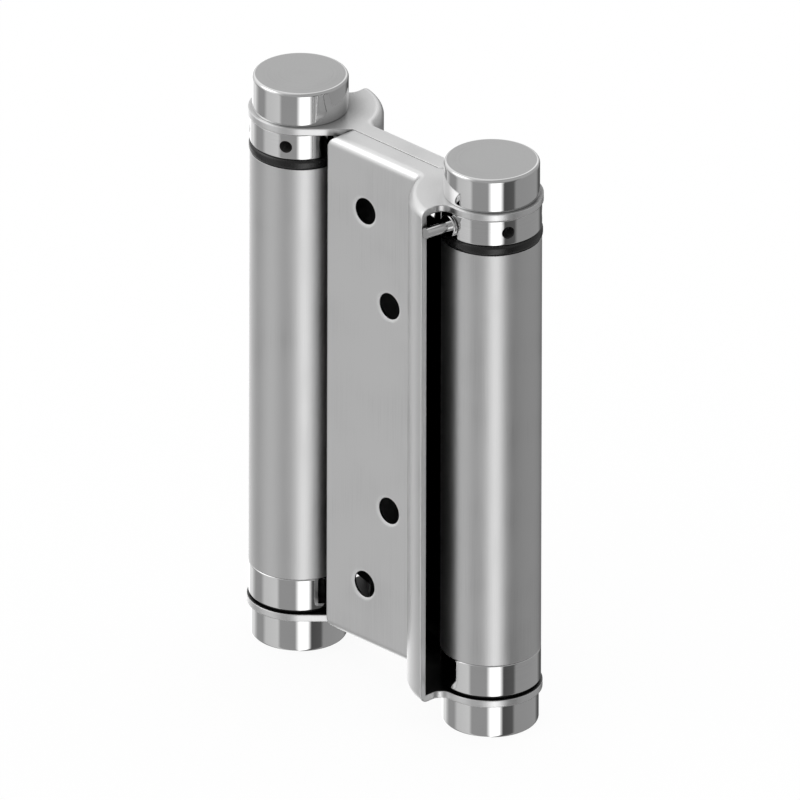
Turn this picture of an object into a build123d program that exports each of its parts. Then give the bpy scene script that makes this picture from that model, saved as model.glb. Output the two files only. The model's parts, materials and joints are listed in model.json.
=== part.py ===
"""Double action cafe hinge, closed and standing upright, in millimetres.

X runs from the left barrel to the right barrel, +Y points away from the right leaf's
outer face, and Z is up. The origin is on the middle axis, level with the foot of the
bottom caps. Half a turn about that axis carries every piece of the right barrel to its
twin on the left, so each piece is modelled at the right barrel and turned for the left.
"""

import os
from math import acos, asin, atan2, cos, degrees, hypot, pi, radians, sin, sqrt

from build123d import *

# Leaves: pressed sheet, a flat plate with flanges, ears and a curled strip
leaf_height = 125.0
sheet = 1.7
plate_face = 6.15
plate_edge = 15.8
plate_corner = 3.0
bend_radius = 2.3
strip_bend = 1.2
strip_room = 5.8
strip_end = 3.95
ear_margin = 0.35
ear_blend = 3.0

# Screw holes in each plate, as reaches from the middle of the leaf
screw_hole = 6.4
screw_rim = 7.8
screw_rim_angle = 130.0
screw_head = 8.4
screw_head_angle = 90.0
screw_stagger = 3.9
outer_screw_reach = 47.3
inner_screw_reach = 25.95

# Barrels: two rolled tubes on one centre sheet
barrel_spacing = 61.5
tube_diameter = 23.0
tube_wall = 1.6
reverse_bend = 3.0
roll_slit = 0.3

# Caps, collars, washers and anchors, from top to bottom of a barrel
cap_inset = 0.5
cap_height = 8.25
cap_rim = 0.8
cap_bore_depth = 6.0
collar_height = 6.45
collar_chamfer = 0.35
collar_spigot_length = 4.0
top_washer_proud = 0.2
top_washer_height = 2.45
top_washer_chamfer = 0.4
anchor_height = 8.0
anchor_spigot_length = 5.0
bottom_washer_inset = 0.6
bottom_washer_height = 0.6
spindle_diameter = 8.0
spindle_chamfer = 0.5

# Tension pins and the collar holes that they go in
pin_hole = 3.0
pin_hole_depth = 5.0
pin_hole_count = 5
pin_rod = 2.5
pin_flange = 5.2
pin_flange_height = 1.0
pin_reach = 6.2
pin_tip_chamfer = 0.3

# Torsion springs, wound from round wire that is drawn with flats
wire_diameter = 3.3
wire_flat_count = 6
spring_turns = 9
turn_segments = 12
tang_length = 2.6

# Clearances
running = 0.05
seam_gap = 0.2
stop_gap = 0.3
face_gap = 0.05
spring_gap = 0.5
wall_gap = 0.4
pin_rest_gap = 0.05

# Places that follow from the sizes
barrel_x = barrel_spacing / 2
tube_radius = tube_diameter / 2
bore_radius = tube_radius - tube_wall
spindle_radius = spindle_diameter / 2
ear_radius = tube_radius + ear_margin
strip_inner = tube_radius + strip_room
strip_outer = strip_inner + sheet
plate_back = plate_face - sheet
leaf_bottom = cap_height
leaf_top = leaf_bottom + leaf_height
leaf_middle = leaf_bottom + leaf_height / 2
collar_top = leaf_top - sheet - face_gap
collar_bottom = collar_top - collar_height
tube_top = collar_bottom - top_washer_height
bottom_washer_bottom = leaf_bottom + sheet + face_gap
anchor_bottom = bottom_washer_bottom + bottom_washer_height
tube_bottom = anchor_bottom + anchor_height
collar_spigot_radius = bore_radius - wall_gap
seam_vertex = ear_radius * sqrt(2)
pin_height = (collar_top + collar_bottom) / 2


def barrel_plane(height):
    """The level plane at a height, with its origin on the right barrel's axis."""
    return Plane(origin=(barrel_x, 0, height))


def save_pair(piece, name):
    """Write the right barrel's piece, and its twin half a turn about the middle axis."""
    for side, turn in (("right", 0), ("left", 180)):
        twin = piece.rotate(Axis.Z, turn)
        twin.label = f"{name}_{side}"
        export_step(twin, f"parts/{name}_{side}.step")


os.makedirs("parts", exist_ok=True)

# Plan of a leaf: the flange, the ear disc, and the sector that carries the strip
seam_y = -seam_gap / 2
notch = seam_gap * sqrt(2)
with BuildSketch(barrel_plane(leaf_bottom)) as leaf_plan:
    Circle(strip_outer)
    with Locations((-strip_end, seam_y)):
        Rectangle(
            3 * strip_outer, 3 * strip_outer, align=(Align.CENTER, Align.MIN), mode=Mode.SUBTRACT
        )
        Rectangle(
            2 * strip_outer, 4 * strip_outer, align=(Align.MIN, Align.CENTER), mode=Mode.SUBTRACT
        )
    with Locations((-barrel_x - plate_edge, seam_y)):
        Rectangle(
            barrel_x + plate_edge - strip_inner / 2,
            plate_face + seam_y,
            align=(Align.MIN, Align.MAX),
        )
    Circle(ear_radius)
    with BuildLine():
        Polyline(
            (-seam_vertex, 0),
            (-seam_vertex / 2, seam_vertex / 2),
            (0, 0),
            (0, seam_y),
            (seam_y - seam_vertex, seam_y),
            close=True,
        )
    make_face()
    twin_vertex = seam_vertex - 2 * barrel_x
    with BuildLine():
        Polyline(
            (twin_vertex + notch, 0),
            (twin_vertex + notch - plate_face, -plate_face),
            (twin_vertex - plate_face, 0),
            close=True,
        )
    make_face(mode=Mode.SUBTRACT)
    fillet(leaf_plan.vertices().sort_by_distance((-strip_end, -ear_radius))[0], ear_blend)
    outer_join = (-sqrt(strip_outer**2 - plate_face**2), -plate_face)
    fillet(leaf_plan.vertices().sort_by_distance(outer_join)[0], strip_bend)

# The hollow behind a leaf's wall, between its flanges
with BuildPart() as leaf_hollow:
    with BuildSketch(barrel_plane(leaf_bottom + sheet)) as hollow_plan:
        Circle(strip_inner)
        with Locations((0, -plate_back)):
            Rectangle(
                barrel_x + 2 * plate_edge, plate_back + strip_inner, align=(Align.MAX, Align.MIN)
            )
        back_join = (-sqrt(strip_inner**2 - plate_back**2), -plate_back)
        fillet(hollow_plan.vertices().sort_by_distance(back_join)[0], strip_bend + sheet)
    extrude(amount=leaf_height - 2 * sheet)


def on_wall(edge):
    """Whether a level edge follows the plate or the strip, by the place of its middle."""
    middle = edge @ 0.5
    return middle.Y < 0.01 - plate_face and hypot(middle.X - barrel_x, middle.Y) > strip_inner


with BuildPart() as leaf:
    add(leaf_plan.sketch)
    extrude(amount=leaf_height)
    fillet(leaf.faces().filter_by(Axis.Z).edges().filter_by(on_wall), bend_radius)
    with BuildSketch(Plane.XZ) as front_outline:
        with Locations((-plate_edge, leaf_middle)):
            Rectangle(3 * barrel_x, leaf_height, align=(Align.MIN, Align.CENTER))
        fillet(front_outline.vertices().group_by(Axis.X)[0], plate_corner)
    extrude(amount=2 * strip_outer, both=True, mode=Mode.INTERSECT)
    add(leaf_hollow.part, mode=Mode.SUBTRACT)
    with Locations(barrel_plane(leaf_bottom)):
        Cylinder(
            spindle_radius + running,
            leaf_height,
            align=(Align.CENTER, Align.CENTER, Align.MIN),
            mode=Mode.SUBTRACT,
        )
    for x, reach in ((-screw_stagger, outer_screw_reach), (screw_stagger, inner_screw_reach)):
        for z in (leaf_middle - reach, leaf_middle + reach):
            for y, way, mouth, angle in (
                (-plate_face, -1, screw_rim, screw_rim_angle),
                (-plate_back, 1, screw_head, screw_head_angle),
            ):
                with Locations(Plane(origin=(x, y, z), z_dir=(0, way, 0))):
                    CounterSinkHole(screw_hole / 2, mouth / 2, sheet, angle)
save_pair(leaf.part, "leaf")

# Centre leaf: the web runs straight through the middle, just clear of the plates' bends
bend_x = barrel_x - sqrt((strip_outer + strip_bend) ** 2 - (plate_face + strip_bend) ** 2)
bend_y = plate_face + strip_bend
web_room = strip_bend + sheet + stop_gap + tube_wall / 2
web_angle = degrees(acos(web_room / hypot(bend_x, bend_y)) - atan2(bend_x, bend_y))
axis_offset = barrel_x * sin(radians(web_angle))
web_reach = barrel_x * cos(radians(web_angle))
web_plane = Plane(origin=(0, 0, tube_bottom), x_dir=(cos(radians(web_angle)), -sin(radians(web_angle)), 0))
with BuildPart() as centre_leaf:
    with BuildSketch(web_plane) as link_plan:
        Rectangle(2 * web_reach, tube_wall)
        for end in (1, -1):
            with Locations((end * web_reach, end * axis_offset)):
                Circle(tube_radius)
        for end in (1, -1):
            lower = axis_offset + tube_wall / 2
            corner = (end * (web_reach - sqrt(tube_radius**2 - lower**2)), -end * tube_wall / 2)
            fillet(link_plan.vertices().sort_by_distance(corner)[0], reverse_bend)
        for end in (1, -1):
            with Locations((end * web_reach, end * axis_offset)):
                Circle(bore_radius, mode=Mode.SUBTRACT)
            with Locations((end * (web_reach - tube_radius), end * (tube_wall + roll_slit) / 2)):
                Rectangle(tube_radius, roll_slit, mode=Mode.SUBTRACT)
    extrude(amount=tube_top - tube_bottom)
centre_leaf.part.label = "centre_leaf"
export_step(centre_leaf.part, "parts/centre_leaf.step")

# Caps: turned, with a broken outer rim and a blind bore for the spindle
with BuildPart() as top_cap:
    with BuildSketch(barrel_plane(leaf_top)):
        Circle(tube_radius - cap_inset)
    extrude(amount=cap_height)
    chamfer(top_cap.edges().group_by(Axis.Z)[-1], cap_rim)
    with BuildSketch(barrel_plane(leaf_top)):
        Circle(spindle_radius)
    extrude(amount=cap_bore_depth, mode=Mode.SUBTRACT)
save_pair(top_cap.part, "top_cap")
bottom_cap = top_cap.part.mirror(Plane.XY.offset(leaf_middle))
save_pair(bottom_cap, "bottom_cap")

# Spindle: a plain rod that reaches into both caps
with BuildPart() as spindle:
    with BuildSketch(barrel_plane(leaf_bottom - cap_bore_depth)):
        Circle(spindle_radius)
    extrude(amount=leaf_height + 2 * cap_bore_depth)
    chamfer(spindle.edges().filter_by(GeomType.CIRCLE), spindle_chamfer)
save_pair(spindle.part, "spindle")

# Springs: they fill the tube between the two spigots, with a tang up and a tang down
coil_radius = spindle_radius + (collar_spigot_radius - spindle_radius) / 2
coil_bottom = tube_bottom + anchor_spigot_length + spring_gap + wire_diameter / 2
coil_top = tube_top - collar_spigot_length - spring_gap - wire_diameter / 2
with BuildPart() as torsion_spring:
    with BuildLine() as coil_path:
        coil_steps = spring_turns * turn_segments
        coil_points = [
            (
                barrel_x + coil_radius * cos(2 * pi * step / turn_segments),
                coil_radius * sin(2 * pi * step / turn_segments),
                coil_bottom + (coil_top - coil_bottom) * step / coil_steps,
            )
            for step in range(coil_steps + 1)
        ]
        Polyline(*coil_points)
    with BuildSketch(Plane(origin=coil_path.line @ 0, x_dir=(1, 0, 0), z_dir=coil_path.line % 0)):
        RegularPolygon(wire_diameter / 2, wire_flat_count)
    sweep(transition=Transition.RIGHT)
    for z, way in ((coil_top, Align.MIN), (coil_bottom, Align.MAX)):
        with Locations((barrel_x + coil_radius, 0, z)):
            Cylinder(
                wire_diameter / 2,
                wire_diameter / 2 + spring_gap + tang_length,
                align=(Align.CENTER, Align.CENTER, way),
            )
save_pair(torsion_spring.part, "torsion_spring")


def tang_mouth(height):
    """The mouth of the pocket that holds a spring's tang, on the spigot's end face."""
    with BuildSketch(barrel_plane(height)) as pocket:
        with Locations((coil_radius, 0)):
            Circle(wire_diameter / 2 + running)
    return pocket.sketch


# The pin rests on the strip's end, and the collar's holes are counted from it
pin_turn = 270 - degrees(asin((strip_end - pin_rod / 2 - pin_rest_gap) / strip_outer))
pin_angles = [pin_turn + 360 / pin_hole_count * step for step in range(pin_hole_count)]


def radial_plane(angle, radius):
    """The plane that faces outwards from the right barrel's axis at the pin's height."""
    way = Vector(cos(radians(angle)), sin(radians(angle)), 0)
    return Plane(origin=Vector(barrel_x, 0, pin_height) + way * radius, z_dir=way)


# Tension collars: a ring of holes round the rim, and a spigot down into the tube
with BuildPart() as tension_collar:
    with BuildSketch(barrel_plane(collar_bottom)):
        Circle(tube_radius)
    extrude(amount=collar_height)
    chamfer(tension_collar.edges().filter_by(GeomType.CIRCLE), collar_chamfer)
    for angle in pin_angles:
        with BuildSketch(radial_plane(angle, tube_radius - pin_hole_depth)):
            Circle(pin_hole / 2)
        extrude(amount=2 * pin_hole_depth, mode=Mode.SUBTRACT)
    spigot_length = top_washer_height + collar_spigot_length
    with BuildSketch(barrel_plane(collar_bottom - spigot_length)):
        Circle(collar_spigot_radius)
    extrude(amount=spigot_length)
    with BuildSketch(barrel_plane(collar_bottom - spigot_length)):
        Circle(spindle_radius + running)
    extrude(amount=spigot_length + collar_height, mode=Mode.SUBTRACT)
    mouth = tang_mouth(tube_top - collar_spigot_length)
    extrude(mouth, amount=tang_length + running, mode=Mode.SUBTRACT)
save_pair(tension_collar.part, "tension_collar")

# Tension pins: a shank in the hole, a flange at its mouth and a rod past the strip's end
with BuildPart() as tension_pin:
    flange_bottom = tube_radius + face_gap
    shank_length = pin_hole_depth - 2 * face_gap
    with BuildSketch(radial_plane(pin_turn, flange_bottom - shank_length)):
        Circle(pin_hole / 2 - running)
    extrude(amount=shank_length)
    with BuildSketch(radial_plane(pin_turn, flange_bottom)):
        Circle(pin_flange / 2)
    extrude(amount=pin_flange_height)
    with BuildSketch(radial_plane(pin_turn, flange_bottom + pin_flange_height)):
        Circle(pin_rod / 2)
    extrude(amount=pin_reach)
    chamfer(tension_pin.edges().sort_by_distance((barrel_x, 0, pin_height))[-1], pin_tip_chamfer)
save_pair(tension_pin.part, "tension_pin")

# Top washers: nylon, between the collar and the tube
with BuildPart() as top_washer:
    with BuildSketch(barrel_plane(tube_top)):
        Circle(tube_radius + top_washer_proud)
    extrude(amount=top_washer_height)
    chamfer(top_washer.edges().filter_by(GeomType.CIRCLE), top_washer_chamfer)
    with BuildSketch(barrel_plane(tube_top)):
        Circle(collar_spigot_radius + running)
    extrude(amount=top_washer_height, mode=Mode.SUBTRACT)
save_pair(top_washer.part, "top_washer")

# Spring anchors: a collar under the tube, pressed into it by a spigot
with BuildPart() as spring_anchor:
    with BuildSketch(barrel_plane(anchor_bottom)):
        Circle(tube_radius)
    extrude(amount=anchor_height)
    chamfer(spring_anchor.edges().filter_by(GeomType.CIRCLE), collar_chamfer)
    with BuildSketch(barrel_plane(tube_bottom)):
        Circle(bore_radius)
    extrude(amount=anchor_spigot_length)
    with BuildSketch(barrel_plane(anchor_bottom)):
        Circle(spindle_radius + running)
    extrude(amount=anchor_height + anchor_spigot_length, mode=Mode.SUBTRACT)
    mouth = tang_mouth(tube_bottom + anchor_spigot_length)
    extrude(mouth, amount=-tang_length - running, mode=Mode.SUBTRACT)
save_pair(spring_anchor.part, "spring_anchor")

# Bottom washers: thin, between the anchor and the lower ear
with BuildPart() as bottom_washer:
    with BuildSketch(barrel_plane(bottom_washer_bottom)):
        Circle(tube_radius - bottom_washer_inset)
        Circle(spindle_radius + running, mode=Mode.SUBTRACT)
    extrude(amount=bottom_washer_height)
save_pair(bottom_washer.part, "bottom_washer")
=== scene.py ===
# %% [markdown]
# # A double action cafe hinge
#
# The hinge stands closed and upright. Two pressed steel leaves lie back to back, and each
# one is screwed to something: one to the door, one to the post. A centre leaf between
# them is rolled into a tube at each end, and a torsion spring in each tube pulls the door
# shut from either side.
#
# The solids come packed from the CAD source, already in place and at their real size.
# Here they get their looks. Pieces that are polished get new, smoother surfaces, because
# a mirror finish shows every facet of a CAD mesh.

# %% Load the frame
import json

import bmesh
import bpy
import numpy as np
from mathutils import Euler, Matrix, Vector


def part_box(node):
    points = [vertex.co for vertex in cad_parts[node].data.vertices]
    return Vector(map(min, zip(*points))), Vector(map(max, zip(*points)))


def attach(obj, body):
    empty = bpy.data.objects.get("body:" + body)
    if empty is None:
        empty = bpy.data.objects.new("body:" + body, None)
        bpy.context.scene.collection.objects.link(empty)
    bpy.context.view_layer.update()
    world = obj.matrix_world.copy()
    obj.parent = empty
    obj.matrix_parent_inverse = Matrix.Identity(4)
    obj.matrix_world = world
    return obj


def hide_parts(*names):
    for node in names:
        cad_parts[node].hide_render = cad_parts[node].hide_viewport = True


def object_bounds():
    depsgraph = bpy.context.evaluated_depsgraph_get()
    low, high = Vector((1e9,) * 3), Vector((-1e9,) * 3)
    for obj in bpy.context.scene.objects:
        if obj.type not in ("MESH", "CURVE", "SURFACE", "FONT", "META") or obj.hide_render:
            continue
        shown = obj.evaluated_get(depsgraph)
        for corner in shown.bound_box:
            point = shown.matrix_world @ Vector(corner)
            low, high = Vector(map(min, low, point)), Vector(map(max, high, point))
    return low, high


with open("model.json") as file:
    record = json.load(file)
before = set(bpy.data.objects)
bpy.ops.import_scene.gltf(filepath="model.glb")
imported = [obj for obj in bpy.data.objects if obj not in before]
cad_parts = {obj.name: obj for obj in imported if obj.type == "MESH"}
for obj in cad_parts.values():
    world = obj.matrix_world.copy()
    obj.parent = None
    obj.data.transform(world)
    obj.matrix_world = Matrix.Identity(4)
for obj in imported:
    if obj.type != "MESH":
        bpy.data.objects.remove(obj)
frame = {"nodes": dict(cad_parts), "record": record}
cad_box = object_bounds()
low, high = (np.array(corner) for corner in cad_box)
centre = (low + high) / 2
mm = 0.001
sides = {"right": 1, "left": -1}
print("the hinge measures", np.round((high - low) / mm, 1), "mm")

# %% [markdown]
# ## Where things are
#
# Both barrels are the same, turned half a turn about the middle axis. So a few sizes read
# from the frame place everything: the barrels' axes, and the lowest and highest level of
# each kind of piece.

# %% Barrel axes and levels


def barrel_axis(side):
    """The X of a barrel's axis: the middle of its cap."""
    cap_low, cap_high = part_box(f"top_cap_{side}")
    return (cap_low[0] + cap_high[0]) / 2


def levels(node):
    """A node's lowest and highest Z."""
    node_low, node_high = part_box(node)
    return node_low[2], node_high[2]


def radius_of(node):
    """Half a round node's width across X."""
    node_low, node_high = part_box(node)
    return (node_high[0] - node_low[0]) / 2


axis_x = {side: barrel_axis(side) for side in sides}
spindle_radius = radius_of("spindle_right")
tube_radius = radius_of("tension_collar_right")
print("barrel axes at", {side: round(x / mm, 2) for side, x in axis_x.items()}, "mm")

# %% [markdown]
# ## The camera
#
# The hinge is seen from its front right corner and from above, without perspective: the
# upright edges are parallel, and the caps are the same size near and far. An orthographic
# camera gives that. Its scale is the width of the picture in metres. The hinge stands a
# little off the middle of the picture, and a shift of the lens puts it there.

# %% Camera
camera_azimuth = np.radians(45.0)
camera_elevation = np.radians(26.55)
camera_roll = np.radians(0.15)
picture_width = 0.1816
picture_shift = (0.0058, -0.0062)
camera_distance = 0.6
towards_camera = np.array([
    np.sin(camera_azimuth) * np.cos(camera_elevation),
    -np.cos(camera_azimuth) * np.cos(camera_elevation),
    np.sin(camera_elevation),
])
camera_data = bpy.data.cameras.new("camera")
camera_data.type = "ORTHO"
camera_data.ortho_scale = picture_width
camera_data.shift_x, camera_data.shift_y = picture_shift
camera = bpy.data.objects.new("camera", camera_data)
bpy.context.scene.collection.objects.link(camera)
camera.location = centre + towards_camera * camera_distance
aimed = Euler((np.pi / 2 - camera_elevation, 0, camera_azimuth)).to_matrix()
rolled = aimed @ Euler((0, 0, camera_roll)).to_matrix()
camera.rotation_euler = rolled.to_euler()
bpy.context.scene.camera = camera
bpy.context.scene.view_settings.view_transform = "Standard"
print("camera at", np.round(np.array(camera.location), 3))

# %% [markdown]
# ## The tent
#
# Polished steel has no colour of its own: it shows what stands around it. A photographer
# puts it in a white tent with black cards, and each round piece then shows the same
# upright bands. The world does that job here. Its brightness goes by the compass
# direction that a reflection leaves in, read from colour ramps: one for each of four rings
# from the ground to the top, with a soft change between them. Two round cards lie over the
# rings: a bright one for the bends of the leaves, and a grey one for the flat cap tops.
# Everything but a reflection sees plain white.

# %% Node helpers


def emptied_tree(owner):
    """The node tree of a world or a material, with nothing in it."""
    owner.use_nodes = True
    owner.node_tree.nodes.clear()
    return owner.node_tree


def add_node(tree, kind, inputs=(), **settings):
    """A new node of a kind, with its settings, and its inputs set or linked."""
    node = tree.nodes.new(kind)
    for name, value in settings.items():
        setattr(node, name, value)
    for name, value in dict(inputs).items():
        if isinstance(value, bpy.types.NodeSocket):
            tree.links.new(value, node.inputs[name])
        else:
            node.inputs[name].default_value = value
    return node


def grey(level):
    """A neutral colour of that brightness."""
    return (level, level, level, 1.0)


def add_ramp(tree, factor, stops):
    """A colour ramp through grey stops, each a position from 0 to 1 and a brightness."""
    ramp = add_node(tree, "ShaderNodeValToRGB", {"Fac": factor})
    elements = ramp.color_ramp.elements
    for _ in stops[2:]:
        elements.new(0.5)
    for element, (position, level) in zip(elements, stops):
        element.position = position
        element.color = grey(level)
    return ramp.outputs["Color"]


def mix_colours(tree, share, first, second):
    """Two colours mixed: the first where the share is 0, the second where it is 1."""
    mixed = add_node(tree, "ShaderNodeMix", {0: share, 6: first, 7: second}, data_type="RGBA")
    return mixed.outputs[2]


def smooth_share(tree, value, start, end):
    """A share that runs smoothly from 0 to 1 while a value runs from start to end."""
    share = add_node(
        tree, "ShaderNodeMapRange", {"Value": value, "From Min": start, "From Max": end},
        interpolation_type="SMOOTHSTEP",
    )
    return share.outputs[0]


# %% The tent's bands
# Each ring has the lowest and highest angle above the horizon that it fills, and its bands:
# a compass direction in degrees, counted from +X towards +Y, and a brightness.
tent_rings = [
    (-90, -8, [
        (-180, 0.9), (-172, 0.6), (-162, 0.35), (-142, 0.35), (-131, 0.66), (-97, 0.73),
        (-90, 0.36), (-54, 0.36), (-43, 1.75), (-25, 1.75), (-15, 0.09), (9, 0.11), (16, 0.34),
        (88, 0.36), (104, 0.1), (128, 0.12), (138, 1.5), (158, 1.5), (166, 0.9), (180, 0.9),
    ]),
    (0, 10, [
        (-180, 0.8), (-156, 0.8), (-116, 1.1), (-98, 0.7), (-80, 0.42), (-24, 0.42),
        (-15, 0.24), (15, 0.24), (30, 0.42), (100, 0.45), (115, 0.8), (180, 0.8),
    ]),
    (24, 45, [
        (-180, 1.0), (-160, 1.0), (-105, 1.0), (-88, 0.45), (95, 0.46), (110, 1.08), (180, 1.05),
    ]),
    (60, 90, [
        (-180, 0.9), (-95, 0.65), (-75, 0.42), (100, 0.45), (120, 0.85), (180, 0.9),
    ]),
]
# Each card is a round spot: its compass direction, its angle above the horizon, the radius
# of its even middle, the radius at which it has faded out, and its brightness.
tent_cards = [
    (-138, 38, 6, 25, 2.3),
    (135, 27, 5, 12, 0.57),
]
world = bpy.data.worlds.new("tent")
bpy.context.scene.world = world
tree = emptied_tree(world)
way = add_node(tree, "ShaderNodeTexCoord").outputs["Generated"]
parts = add_node(tree, "ShaderNodeSeparateXYZ", {"Vector": way})
compass = add_node(
    tree, "ShaderNodeMath", {0: parts.outputs["Y"], 1: parts.outputs["X"]},
    operation="ARCTAN2",
)
turn = add_node(
    tree, "ShaderNodeMapRange",
    {"Value": compass.outputs[0], "From Min": -np.pi, "From Max": np.pi,
     "To Min": 0.0, "To Max": 1.0},
)
tent = None
for number, (bottom, _, bands) in enumerate(tent_rings):
    stops = [((angle + 180) / 360, level) for angle, level in bands]
    ring = add_ramp(tree, turn.outputs[0], stops)
    if tent is None:
        tent = ring
    else:
        start, end = np.sin(np.radians([tent_rings[number - 1][1], bottom]))
        share = smooth_share(tree, parts.outputs["Z"], float(start), float(end))
        tent = mix_colours(tree, share, tent, ring)
for compass_angle, height_angle, even, faded, level in tent_cards:
    turned_to, lifted = np.radians(compass_angle), np.radians(height_angle)
    aim = (
        np.cos(turned_to) * np.cos(lifted), np.sin(turned_to) * np.cos(lifted), np.sin(lifted),
    )
    near = add_node(tree, "ShaderNodeVectorMath", {0: way, 1: aim}, operation="DOT_PRODUCT")
    start, end = np.cos(np.radians([faded, even]))
    share = smooth_share(tree, near.outputs["Value"], float(start), float(end))
    tent = mix_colours(tree, share, tent, grey(level))
light_path = add_node(tree, "ShaderNodeLightPath")
seen = mix_colours(tree, light_path.outputs["Is Glossy Ray"], grey(1.0), tent)
sky = add_node(tree, "ShaderNodeBackground", {"Color": seen, "Strength": 1.0})
add_node(tree, "ShaderNodeOutputWorld", {"Surface": sky.outputs[0]})
print("the tent has", len(tent_rings), "rings and", len(tent_cards), "cards")

# %% [markdown]
# ## The floor
#
# A plain white floor, level with the foot of the bottom caps. It takes the soft shadow
# under the hinge. What the camera sees of it is mostly its own glow, which keeps it even and
# the shadow faint. Reflections pass through it, so the caps show the tent's bands and not
# an endless white sheet.

# %% Floor
floor_reach = 3.0
floor_drop = 0.02 * mm
floor_level = low[2] - floor_drop
glow_share = 0.92
square = ((-1, -1), (1, -1), (1, 1), (-1, 1))
floor_mesh = bpy.data.meshes.new("floor")
floor_mesh.from_pydata(
    [(x * floor_reach, y * floor_reach, floor_level) for x, y in square], [], [(0, 1, 2, 3)],
)
floor = bpy.data.objects.new("floor", floor_mesh)
bpy.context.scene.collection.objects.link(floor)
floor_paint = bpy.data.materials.new("floor_white")
tree = emptied_tree(floor_paint)
matte = add_node(tree, "ShaderNodeBsdfDiffuse", {"Color": grey(1.0)})
glow = add_node(tree, "ShaderNodeEmission", {"Color": grey(1.0), "Strength": 1.0})
clear = add_node(tree, "ShaderNodeBsdfTransparent")
light_path = add_node(tree, "ShaderNodeLightPath")
lift = add_node(
    tree, "ShaderNodeMath", {0: light_path.outputs["Is Camera Ray"], 1: glow_share},
    operation="MULTIPLY",
)
lit = add_node(
    tree, "ShaderNodeMixShader", {0: lift.outputs[0], 1: matte.outputs[0], 2: glow.outputs[0]},
)
mix = add_node(
    tree, "ShaderNodeMixShader",
    {0: light_path.outputs["Is Glossy Ray"], 1: lit.outputs[0], 2: clear.outputs[0]},
)
add_node(tree, "ShaderNodeOutputMaterial", {"Surface": mix.outputs[0]})
floor_mesh.materials.append(floor_paint)
print("floor at", round(floor_level / mm, 2), "mm")

# %% [markdown]
# ## Finishes
#
# Every metal here is the same stainless steel, worked in different ways. What differs is
# the direction and the depth of the fine scratches: upright and visible on the pressed
# leaves, round and fine on the turned pieces, and very even on the tubes. So one function
# makes them all: it stretches noise along the direction of the scratches, and lets it
# vary the colour, the roughness and a very shallow bump.
#
# Two things can be added. A Bevel node turns the shading round a sharp edge, so that a cut
# sheet catches the light as a real one does. An Ambient Occlusion node paints shade into the
# colour of what lies close to something: the leaves beside the caps, and most of all the
# inside of the hinge.

# %% Steel


def add_tone(tree, factor, colour):
    """A narrow ramp round a colour, from 5 percent darker to 3 percent lighter."""
    ramp = add_node(tree, "ShaderNodeValToRGB", {"Fac": factor})
    for element, position, times in zip(ramp.color_ramp.elements, (0.7, 1.0), (0.95, 1.03)):
        element.position = position
        element.color = tuple(channel * times for channel in colour) + (1.0,)
    return ramp.outputs["Color"]


def add_rings(tree, place, x):
    """A place in cylinder coordinates round the upright axis at X: its distance, 0, its height."""
    parts = add_node(tree, "ShaderNodeSeparateXYZ", {"Vector": place})
    across = add_node(
        tree, "ShaderNodeMath", {0: parts.outputs["X"], 1: x}, operation="SUBTRACT",
    )
    flat = add_node(
        tree, "ShaderNodeCombineXYZ", {"X": across.outputs[0], "Y": parts.outputs["Y"]},
    )
    reach = add_node(tree, "ShaderNodeVectorMath", {0: flat.outputs[0]}, operation="LENGTH")
    lathe = add_node(
        tree, "ShaderNodeCombineXYZ", {"X": reach.outputs["Value"], "Z": parts.outputs["Z"]},
    )
    return lathe.outputs[0]


def add_shade(tree, tone, distance, leaning, stops):
    """Painted shade: a colour, darkened where neighbours within a distance keep the light off.

    Leaning is added to the face's own direction, and neighbours are looked for on that side.
    The stops are a ramp from how open the place is, 0 to 1, to how much of the colour stays.
    """
    faces = add_node(tree, "ShaderNodeNewGeometry").outputs["Normal"]
    lean = add_node(tree, "ShaderNodeVectorMath", {0: faces, 1: leaning}, operation="ADD")
    aim = add_node(tree, "ShaderNodeVectorMath", {0: lean.outputs[0]}, operation="NORMALIZE")
    open_sky = add_node(
        tree, "ShaderNodeAmbientOcclusion", {"Distance": distance, "Normal": aim.outputs[0]},
        samples=8,
    )
    lit = add_ramp(tree, open_sky.outputs["AO"], stops)
    shaded = add_node(
        tree, "ShaderNodeMix", {0: 1.0, 6: tone, 7: lit}, data_type="RGBA", blend_type="MULTIPLY",
    )
    return shaded.outputs[2]


# %% One function for all steels
# The scratches and the broad clouds add up to a value that mostly lies between these two.
noise_low, noise_high = 0.7, 1.3


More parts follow.
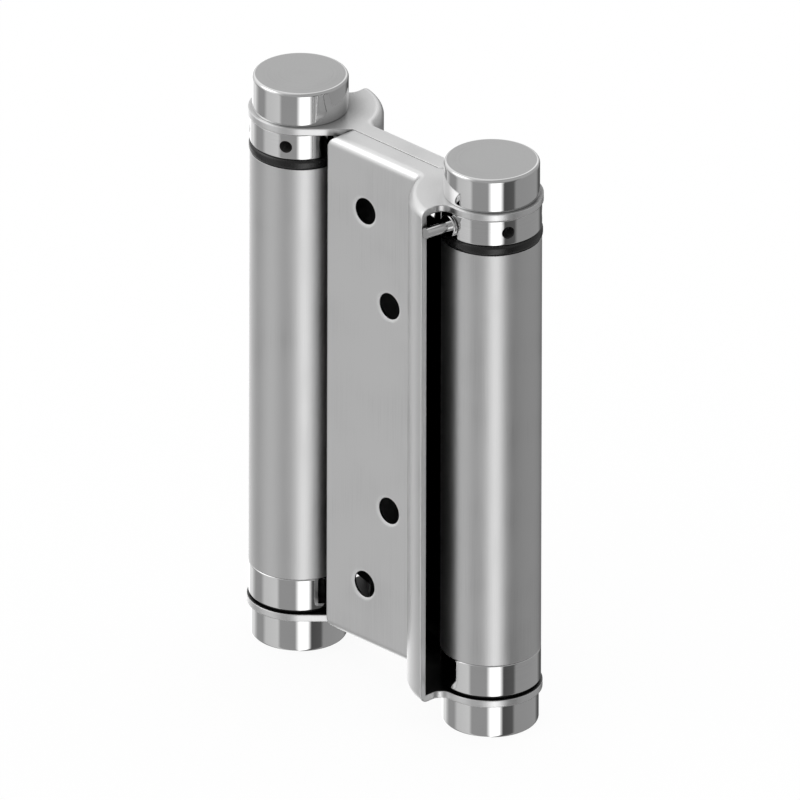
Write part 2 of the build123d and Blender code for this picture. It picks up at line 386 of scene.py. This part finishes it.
def steel(
    name, colour, roughness, spread, grain, depth, around=None, soft_edge=0.0, shade=None,
):
    """A steel finish.

    Scratches are noise that is stretched by the grain, three scales in 1/m along X, Y and Z.
    Around gives the X of an axis for turned pieces, and makes the scratches rings round it.
    Spread is how far the roughness varies, and depth the height of the bump in metres. A soft
    edge is a radius over which the shading runs round the piece's sharp edges. Shade is the
    painted shade, what add_shade is told: a distance, a leaning and stops.
    """
    material = bpy.data.materials.new(name)
    tree = emptied_tree(material)
    place = add_node(tree, "ShaderNodeTexCoord").outputs["Object"]
    grained = place if around is None else add_rings(tree, place, around)
    stretch = add_node(tree, "ShaderNodeMapping", {"Vector": grained, "Scale": grain})
    scratches = add_node(
        tree, "ShaderNodeTexNoise",
        {"Vector": stretch.outputs[0], "Scale": 1.0, "Detail": 3.0, "Roughness": 0.6},
    )
    clouds = add_node(tree, "ShaderNodeTexNoise", {"Vector": place, "Scale": 60.0, "Detail": 2.0})
    both = add_node(
        tree, "ShaderNodeMath", {0: scratches.outputs["Fac"], 1: clouds.outputs["Fac"]},
        operation="ADD",
    )
    tone = add_tone(tree, both.outputs[0], colour)
    if shade:
        tone = add_shade(tree, tone, *shade)
    dull = add_node(
        tree, "ShaderNodeMapRange",
        {"Value": both.outputs[0], "From Min": noise_low, "From Max": noise_high,
         "To Min": roughness - spread, "To Max": roughness + spread},
    )
    bump = add_node(
        tree, "ShaderNodeBump",
        {"Height": scratches.outputs["Fac"], "Distance": depth, "Strength": 1.0},
    )
    if soft_edge:
        edge = add_node(tree, "ShaderNodeBevel", {"Radius": soft_edge}, samples=8)
        tree.links.new(edge.outputs[0], bump.inputs["Normal"])
    shader = add_node(
        tree, "ShaderNodeBsdfPrincipled",
        {"Base Color": tone, "Metallic": 1.0, "Roughness": dull.outputs[0],
         "Normal": bump.outputs[0]},
    )
    add_node(tree, "ShaderNodeOutputMaterial", {"Surface": shader.outputs[0]})
    return material


# %% The steels
# The leaves are brushed, with cut edges round the screw holes and shade of the caps painted
# beside them. The tubes are satin, the turned pieces polished. The inside of the hinge has a
# dull mill finish, with shade painted into it that makes enclosed places nearly black.
upright_grain = (9000.0, 9000.0, 60.0)
ring_grain = (9000.0, 1.0, 9000.0)
# The painted shade of the leaves leans to the side from which the camera sees them lit, and
# the painted shade of the insides goes straight out.
bright_side = (-0.45, -0.45, 0.0)
straight_out = (0.0, 0.0, 0.0)
# Brushed leaves with painted shade: a soft shadow of the caps painted on the flanges beside them.
brushed_steel = steel(
    "brushed_steel", (0.75, 0.75, 0.75), 0.36, 0.05, upright_grain, 0.004 * mm,
    soft_edge=0.5 * mm, shade=(7 * mm, bright_side, [(0.2, 0.12), (0.85, 1.0)]),
)
cut_steel = steel("cut_steel", (0.8, 0.8, 0.8), 0.7, 0.05, upright_grain, 0.002 * mm)
satin_steel = steel(
    "satin_steel", (0.64, 0.64, 0.64), 0.42, 0.03, upright_grain, 0.002 * mm,
)
polished = {
    side: steel(
        f"polished_steel_{side}", (0.7, 0.7, 0.7), 0.06, 0.02, ring_grain, 0.0004 * mm, around=x,
    )
    for side, x in axis_x.items()
}
pin_steel = steel("pin_steel", (0.7, 0.7, 0.7), 0.15, 0.03, upright_grain, 0.001 * mm)
# A dull mill finish, and painted shade that turns enclosed places nearly black.
mill_steel_shaded = steel(
    "mill_steel_shaded", (0.5, 0.5, 0.5), 0.42, 0.04, upright_grain, 0.003 * mm,
    shade=(20 * mm, straight_out, [(0.33, 0.008), (0.6, 0.22), (0.92, 1.0)]),
)
# A duller drilled finish, with painted shade that darkens the holes towards their depth.
drilled_steel_shaded = steel(
    "drilled_steel_shaded", (0.6, 0.6, 0.6), 0.45, 0.05, upright_grain, 0.002 * mm,
    shade=(3 * mm, straight_out, [(0.05, 0.02), (0.45, 0.7)]),
)
spring_steel = steel(
    "spring_steel", (0.32, 0.32, 0.33), 0.35, 0.05, upright_grain, 0.004 * mm,
)
print("polished for each barrel:", [material.name for material in polished.values()])

# %% [markdown]
# ## Black nylon
#
# The thin washers are moulded in black nylon. Moulded plastic is even in colour, and its
# gloss is broken by a fine mottle, so a small noise varies the roughness and the bump.

# %% Nylon


def nylon():
    """Black nylon: moulded plastic with a faint mottle in its gloss."""
    material = bpy.data.materials.new("black_nylon")
    tree = emptied_tree(material)
    place = add_node(tree, "ShaderNodeTexCoord").outputs["Object"]
    mottle = add_node(
        tree, "ShaderNodeTexNoise", {"Vector": place, "Scale": 2500.0, "Detail": 2.0},
    )
    dull = add_node(
        tree, "ShaderNodeMapRange",
        {"Value": mottle.outputs["Fac"], "From Min": 0.3, "From Max": 0.7,
         "To Min": 0.24, "To Max": 0.34},
    )
    tone = add_tone(tree, mottle.outputs["Fac"], (0.005, 0.005, 0.005))
    bump = add_node(
        tree, "ShaderNodeBump", {"Height": mottle.outputs["Fac"], "Distance": 0.01 * mm},
    )
    shader = add_node(
        tree, "ShaderNodeBsdfPrincipled",
        {"Base Color": tone, "Roughness": dull.outputs[0], "Normal": bump.outputs[0]},
    )
    add_node(tree, "ShaderNodeOutputMaterial", {"Surface": shader.outputs[0]})
    return material


black_nylon = nylon()
print("nylon:", black_nylon.name)

# %% [markdown]
# ## Surfaces of revolution
#
# A cap, a collar or a washer is turned on a lathe: a profile carried round an axis. The
# corners of the profile are rounded first, each by its own radius, because a sharp corner
# has no highlight and a real one always has.

# %% Rounded profiles


def rounded(corners, steps=6, guard=0.04 * mm):
    """A profile with its corners rounded.

    Each corner is (radius from the axis, height, rounding). The arc starts and ends where the
    two sides are left at rounding / tan(half the corner), and its points lie between by angle.
    A guard point lies just before and after each arc, so the shading of the sides stays even.
    """
    points = []
    for number, (r, z, rounding) in enumerate(corners):
        here = np.array([r, z])
        if rounding == 0:
            points.append(here)
            continue
        before = np.array(corners[number - 1][:2]) - here
        after = np.array(corners[(number + 1) % len(corners)][:2]) - here
        before /= np.linalg.norm(before)
        after /= np.linalg.norm(after)
        half = np.arccos(np.clip(before @ after, -1, 1)) / 2
        bisector = (before + after) / np.linalg.norm(before + after)
        middle = here + bisector * rounding / np.sin(half)
        first = here + before * rounding / np.tan(half) - middle
        last = here + after * rounding / np.tan(half) - middle
        share = np.linspace(0, 1, steps + 1)[:, None]
        swing = np.pi - 2 * half
        arc = np.sin((1 - share) * swing) * first + np.sin(share * swing) * last
        reach = rounding / np.tan(half) + guard
        points.append(here + before * reach)
        points.extend(middle + arc / np.sin(swing))
        points.append(here + after * reach)
    return np.array(points)


# %% [markdown]
# ## From a mesh to a piece
#
# Every new mesh goes the same way. Doubled points are merged, its faces are turned to point
# outwards, and the shading is made smooth except at sharp edges. Then the solids that it
# stands for are hidden, it is hung on its body, and it gets its material.
# Parts of a piece can get a finish of their own, chosen by where the faces lie.

# %% Handing a piece over
merge_reach = 0.002 * mm
speck = 0.001 * mm
flat_turn = np.radians(0.5)
border_turn = np.radians(30)
turned_sharp = np.radians(40)
pressed_sharp = np.radians(50)


def mark_sharp(work, sharp):
    """Shade smooth over edges that turn by less than an angle, and sharp at the others."""
    for edge in work.edges:
        edge.smooth = bool(edge.calc_face_angle(0.0) < sharp)


def round_borders(work, radius):
    """Join flats to whole faces, and round the borders between them as far as there is room."""
    bmesh.ops.dissolve_limit(
        work, angle_limit=flat_turn, use_dissolve_boundaries=False,
        verts=work.verts, edges=work.edges,
    )
    borders = [edge for edge in work.edges if edge.calc_face_angle(0.0) > border_turn]
    bmesh.ops.bevel(
        work, geom=borders, offset=radius, offset_type="OFFSET", segments=4, profile=0.5,
        affect="EDGES", clamp_overlap=True,
    )
    bmesh.ops.dissolve_degenerate(work, edges=work.edges, dist=merge_reach)


def finish_piece(name, mesh, body, material, nodes, sharp=turned_sharp, edge_radius=0.0):
    """Merge doubles, point the faces outwards, set the shading, and hand the piece over."""
    work = bmesh.new()
    work.from_mesh(mesh)
    bmesh.ops.remove_doubles(work, verts=work.verts, dist=merge_reach)
    bmesh.ops.dissolve_degenerate(work, edges=work.edges, dist=speck)
    bmesh.ops.recalc_face_normals(work, faces=work.faces)
    if edge_radius:
        round_borders(work, edge_radius)
    for face in work.faces:
        face.smooth = True
    mark_sharp(work, sharp)
    work.to_mesh(mesh)
    work.free()
    mesh.materials.append(material)
    piece = bpy.data.objects.new(name, mesh)
    bpy.context.scene.collection.objects.link(piece)
    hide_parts(*nodes)
    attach(piece, body)
    return piece


def face_middles(piece):
    """The middles of a piece's faces, as columns X, Y and Z."""
    middles = np.empty(len(piece.data.polygons) * 3)
    piece.data.polygons.foreach_get("center", middles)
    return middles.reshape(-1, 3).T


def refinish(piece, material, picked):
    """Give a second finish to the faces that are picked."""
    mesh = piece.data
    mesh.materials.append(material)
    before = np.empty(len(mesh.polygons), dtype=np.int32)
    mesh.polygons.foreach_get("material_index", before)
    after = np.where(picked, len(mesh.materials) - 1, before)
    mesh.polygons.foreach_set("material_index", after)
    print(piece.name, "has", int(picked.sum()), "faces of", material.name)


# %% [markdown]
# ## Carried round an axis
#
# The grid of points has a row for each point of the profile and a column for each angle.
# Quads join neighbours, and the last row and column join the first. An axis can point any
# way, because the pins lie flat while all else stands upright.

# %% Turned pieces
turn_steps = 160
upright = (0.0, 0.0, 1.0)
nearly_upright = 0.9


def surface(name, points, body, material, nodes):
    """A piece from a grid of points, rows by columns, joined by quads and wrapped both ways."""
    rows, columns = points.shape[:2]
    row, column = np.meshgrid(np.arange(rows), np.arange(columns), indexing="ij")
    next_row, next_column = (row + 1) % rows, (column + 1) % columns
    quads = np.stack(
        [row * columns + column, row * columns + next_column,
         next_row * columns + next_column, next_row * columns + column], axis=-1,
    ).reshape(-1, 4)
    mesh = bpy.data.meshes.new(name)
    mesh.from_pydata(points.reshape(-1, 3).tolist(), [], quads.tolist())
    return finish_piece(name, mesh, body, material, nodes)


def lathed(name, origin, axis, corners, body, material, nodes):
    """A profile carried round an axis: origin + z axis + r (cos a side + sin a other).

    The angle a runs round once. Side and other are square to the axis and to each other.
    """
    profile = rounded(corners)
    axis = np.array(axis, dtype=float)
    side = np.cross(axis, upright) if abs(axis[2]) < nearly_upright else np.array([1.0, 0.0, 0.0])
    side /= np.linalg.norm(side)
    other = np.cross(axis, side)
    angles = np.linspace(0, 2 * np.pi, turn_steps, endpoint=False)
    spokes = np.cos(angles)[:, None] * side + np.sin(angles)[:, None] * other
    points = np.array(origin) + profile[:, None, 1:] * axis + profile[:, None, :1] * spokes
    return surface(name, points, body, material, nodes)


def turned(name, x, corners, body, material, nodes):
    """A profile carried round the upright axis at X."""
    return lathed(name, (x, 0.0, 0.0), upright, corners, body, material, nodes)


# %% [markdown]
# ## Caps
#
# The caps are the brightest pieces. Their rim is rounded generously, which gives the pale
# line round the top face. Each is bored as far as its spindle reaches into it.

# %% Caps
cap_rim = 0.8 * mm
cap_edge = 0.12 * mm
for side, x in axis_x.items():
    for end, up in (("top", 1), ("bottom", -1)):
        node = f"{end}_cap_{side}"
        base, tip = levels(node)[::up]
        outer = radius_of(node)
        bore_end = levels(f"spindle_{side}")[::up][1]
        turned(
            node + "_turned", x,
            [(0.0, bore_end, 0), (spindle_radius, bore_end, 0), (spindle_radius, base, 0),
             (outer, base, cap_edge), (outer, tip, cap_rim), (0.0, tip, 0)],
            f"{side}_leaf", polished[side], [node],
        )
print("caps of", round(2 * outer / mm, 1), "mm")

# %% [markdown]
# ## Collars
#
# The collar at the top of each barrel has five holes for a short bar: the spring is wound
# by turning it. Below its wide part a spigot reaches into the tube. The holes lie along
# spokes, and the tension pin stands in the first. A drill leaves no mirror behind, so the
# walls of the holes get a duller finish, with shade painted into it that darkens them deep
# inside.

# %% Drilling
hole_radius = 1.5 * mm
hole_depth = 5.0 * mm
hole_count = 5
hole_sides = 32


def drill(piece, side, radius, level):
    """Cut the radial holes: thin cylinders along the spokes, taken away by a Boolean."""
    pin_low, pin_high = (np.array(corner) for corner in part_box(f"tension_pin_{side}"))
    pin_middle = (pin_low + pin_high) / 2
    first = np.arctan2(pin_middle[1], pin_middle[0] - axis_x[side])
    around = np.linspace(0, 2 * np.pi, hole_sides, endpoint=False)
    steps = (radius - hole_depth, radius + hole_depth)
    middle = np.array([axis_x[side], 0, level])
    cutter = bmesh.new()
    for spoke in first + np.arange(hole_count) * 2 * np.pi / hole_count:
        out = np.array([np.cos(spoke), np.sin(spoke), 0])
        aside = np.array([-out[1], out[0], 0])
        spokes = np.cos(around)[:, None] * aside + np.sin(around)[:, None] * np.array(upright)
        ring = middle + hole_radius * spokes
        inner, outer = ([cutter.verts.new(point + out * step) for point in ring] for step in steps)
        cutter.faces.new(inner)
        cutter.faces.new(outer[::-1])
        for here in range(hole_sides):
            after = (here + 1) % hole_sides
            cutter.faces.new((inner[after], inner[here], outer[here], outer[after]))
    bmesh.ops.recalc_face_normals(cutter, faces=cutter.faces)
    mesh = bpy.data.meshes.new("drill")
    cutter.to_mesh(mesh)
    cutter.free()
    tool = bpy.data.objects.new("drill", mesh)
    bpy.context.scene.collection.objects.link(tool)
    boolean = piece.modifiers.new("holes", "BOOLEAN")
    boolean.object = tool
    boolean.solver = "EXACT"
    bpy.context.view_layer.objects.active = piece
    bpy.ops.object.modifier_apply(modifier=boolean.name)
    bpy.data.objects.remove(tool)
    work = bmesh.new()
    work.from_mesh(piece.data)
    mark_sharp(work, turned_sharp)
    work.to_mesh(piece.data)
    work.free()


# %% Collars
collar_edge = 0.4 * mm
play = 0.05 * mm
bore_radius = spindle_radius + play
spigot_radius = 9.5 * mm
# The hole walls are the faces between these distances from the axis, as high as the holes.
walls_from = tube_radius - hole_depth - 0.1 * mm
walls_to = tube_radius - 0.06 * mm
walls_high = hole_radius * 1.02
for side, x in axis_x.items():
    node = f"tension_collar_{side}"
    spigot_end, collar_top = levels(node)
    collar_bottom = levels(f"top_washer_{side}")[1]
    collar = turned(
        node + "_turned", x,
        [(bore_radius, spigot_end, 0), (spigot_radius, spigot_end, 0),
         (spigot_radius, collar_bottom, 0), (tube_radius, collar_bottom, collar_edge),
         (tube_radius, collar_top, collar_edge), (bore_radius, collar_top, 0)],
        f"{side}_collar", polished[side], [node],
    )
    hole_level = (collar_bottom + collar_top) / 2
    drill(collar, side, tube_radius, hole_level)
    across, along, up = face_middles(collar)
    reach = np.hypot(across - x, along)
    drilled = (reach > walls_from) & (reach < walls_to) & (np.abs(up - hole_level) < walls_high)
    refinish(collar, drilled_steel_shaded, drilled)
print("collars of", round(2 * tube_radius / mm, 1), "mm")

# %% [markdown]
# ## Anchors
#
# The anchor at the foot of each tube holds the other end of the spring. It is pressed into
# the tube, so it turns with it. Only its lower part shows, as a ring of the tube's width.

# %% Anchors
press_radius = 9.9 * mm
for side, x in axis_x.items():
    node = f"spring_anchor_{side}"
    anchor_bottom, spigot_top = levels(node)
    tube_bottom = levels("centre_leaf")[0]
    turned(
        node + "_turned", x,
        [(bore_radius, anchor_bottom, 0), (tube_radius, anchor_bottom, collar_edge),
         (tube_radius, tube_bottom, collar_edge), (press_radius, tube_bottom, 0),
         (press_radius, spigot_top, 0), (bore_radius, spigot_top, 0)],
        "centre", polished[side], [node],
    )
print("anchors", round((spigot_top - anchor_bottom) / mm, 1), "mm high")

# %% [markdown]
# ## Washers
#
# Between the steel pieces that turn against each other sit nylon washers, which keep the
# hinge quiet. Two turning faces in one place would flicker, so each washer ends a hair
# below the piece above it.

# %% Washers
hair = 0.02 * mm
washer_edge = {"top": 0.8 * mm, "bottom": 0.2 * mm}
washer_bore = {"top": spigot_radius + play, "bottom": bore_radius}
for side, x in axis_x.items():
    for end in ("top", "bottom"):
        node = f"{end}_washer_{side}"
        base, tip = levels(node)
        outer = radius_of(node)
        turned(
            node + "_moulded", x,
            [(washer_bore[end], base, 0), (outer, base, washer_edge[end]),
             (outer, tip - hair, washer_edge[end]), (washer_bore[end], tip - hair, 0)],
            "centre", black_nylon, [node],
        )
        print(node, round((tip - base) / mm, 2), "mm thick")

# %% [markdown]
# ## Pressed leaves and the centre leaf
#
# These have flats that run smoothly into bends. The CAD mesh has the right shape, but its
# triangles are loose, so light would show each one. A copy is merged into one skin and
# shaded smooth, and a Weighted Normal modifier keeps the flats flat: each corner takes its
# direction mostly from the largest face that meets there.
#
# The insides have a dull mill finish, with shade painted into it that makes enclosed places
# nearly black. The faces that lie there are picked by where their middles are, and so are
# the cut edges and the walls of the screw holes.

# %% Pressed pieces


def pressed(node, body, material, edge_radius):
    """A merged copy of a node's mesh, smooth over its bends and flat on its flats."""
    mesh = frame["nodes"][node].data.copy()
    mesh.materials.clear()
    piece = finish_piece(
        node + "_pressed", mesh, body, material, [node],
        sharp=pressed_sharp, edge_radius=edge_radius,
    )
    weighted = piece.modifiers.new("flat_flats", "WEIGHTED_NORMAL")
    weighted.keep_sharp = True
    weighted.weight = 100
    return piece


# %% Leaves
# The sheet's thickness, the radius inside the curled strip, and how far from the middle of
# the hinge a leaf's outer and inner face lie.
sheet = 1.7 * mm
strip_inner = 17.3 * mm
leaf_face = 6.15 * mm
wall_back = leaf_face - sheet
# A screw hole: the radius of its rim, and the depths between which its cone lies.
screw_rim = 4.4 * mm
cone_from, cone_to = 0.05 * mm, 0.33 * mm
leaf_edge = 0.45 * mm


def screw_places(side):
    """The X and Z of the four screw holes of a leaf, from the record's mounts."""
    places = []
    for mount in frame["record"]["mounts"]:
        if mount["name"].startswith(side) and "screws" in mount["name"]:
            x, _, z = mount["pos_m"]
            reach = mount["dims"]["spacing_y_mm"] / 2 * mm
            places += [(x, z - reach), (x, z + reach)]
    return places


def near_screws(side, x, z):
    """How far places on a leaf are from the middle of the nearest screw hole."""
    places = screw_places(side)
    return np.min([np.hypot(x - hole_x, z - hole_z) for hole_x, hole_z in places], axis=0)


def inside_leaf(side, x, y, z):
    """Between the flanges, and inside the curled strip or behind the plate."""
    bottom, top = levels(f"leaf_{side}")
    level = (z > bottom + sheet - hair) & (z < top - sheet + hair)
    disc = np.hypot(x - axis_x[side], y) < strip_inner + hair
    behind = (y * sides[side] > -wall_back - hair) & (x * sides[side] < axis_x["right"] / 2)
    return level & (disc | behind)


for side, way in sides.items():
    leaf = pressed(
        f"leaf_{side}", f"{side}_leaf", brushed_steel, leaf_edge,
    )
    x, y, z = face_middles(leaf)
    # Inside the leaf: the mill finish, with painted shade that makes it nearly black.
    refinish(leaf, mill_steel_shaded, inside_leaf(side, x, y, z))
    depth = leaf_face + y * way
    at_hole = near_screws(side, x, z) < screw_rim
    refinish(leaf, cut_steel, at_hole & (depth > cone_from) & (depth < cone_to))
    # The walls of the screw holes get the same painted shade.
    refinish(leaf, mill_steel_shaded, at_hole & (depth >= cone_to) & (depth < sheet - hair))

# %% Centre leaf
tube_edge = 0.1 * mm
tube_skin = 0.1 * mm
centre_leaf = pressed("centre_leaf", "centre", satin_steel, tube_edge)
x, y, z = face_middles(centre_leaf)
# Only the outsides of the tubes are satin. The web between them and the bores get the mill
# finish with painted shade, which makes them nearly black where they are enclosed.
reach = np.minimum(np.hypot(x - axis_x["right"], y), np.hypot(x - axis_x["left"], y))
refinish(centre_leaf, mill_steel_shaded, np.abs(reach - tube_radius) > tube_skin)

# %% [markdown]
# ## Pins
#
# The tension pin sits in a hole of the collar and leans on the leaf, which keeps the spring
# wound. It is turned too, but its axis lies flat, and points inwards, against the way that
# it is pulled out. Its lengths and radii are read from the CAD mesh: each point's distance
# along the axis, and its distance from it. The flange is where it is widest, the shank lies
# inwards from there, and the rod outwards.

# %% Pins
flange_edge = 0.3 * mm
shank_end = 0.5 * mm
joint_axis = {
    joint["name"]: np.array(joint["axis"], dtype=float)
    for joint in frame["record"]["behaviour"]["joints"]
}
for side, x in axis_x.items():
    node = f"tension_pin_{side}"
    corner_low, corner_high = (np.array(corner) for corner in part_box(node))
    level = (corner_low[2] + corner_high[2]) / 2
    pull = joint_axis[f"{side}_pin_pull"]
    inward = -pull / np.linalg.norm(pull)
    points = np.empty(len(frame["nodes"][node].data.vertices) * 3)
    frame["nodes"][node].data.vertices.foreach_get("co", points)
    points = points.reshape(-1, 3) - (x, 0, level)
    reach = points @ inward
    width = np.linalg.norm(points - reach[:, None] * inward, axis=1)
    flange = reach[width > width.max() - hair]
    shank = width[reach > flange.max() + hair].max()
    rod = width[reach < flange.min() - hair].max()
    lathed(
        node + "_turned", (x, 0.0, level), inward,
        [(0.0, reach.min(), 0), (rod, reach.min(), 0), (rod, flange.min(), 0),
         (width.max(), flange.min(), flange_edge), (width.max(), flange.max(), flange_edge),
         (shank, flange.max(), 0), (shank, reach.max(), shank_end), (0.0, reach.max(), 0)],
        f"{side}_pin", pin_steel, [node],
    )
    print(node, "rod", round(2 * rod / mm, 2), "mm, shank", round(2 * shank / mm, 2), "mm")

# %% [markdown]
# ## Spindles and springs
#
# The steel rods and the torsion springs are shut away inside the barrels. Their CAD meshes
# are good enough as they are, so they only get a finish.

# %% Spindles and springs
for side in sides:
    for kind, material in (("spindle", polished[side]), ("torsion_spring", spring_steel)):
        cad = frame["nodes"][f"{kind}_{side}"]
        cad.data.materials.clear()
        cad.data.materials.append(material)
        print(cad.name, "is of", material.name)
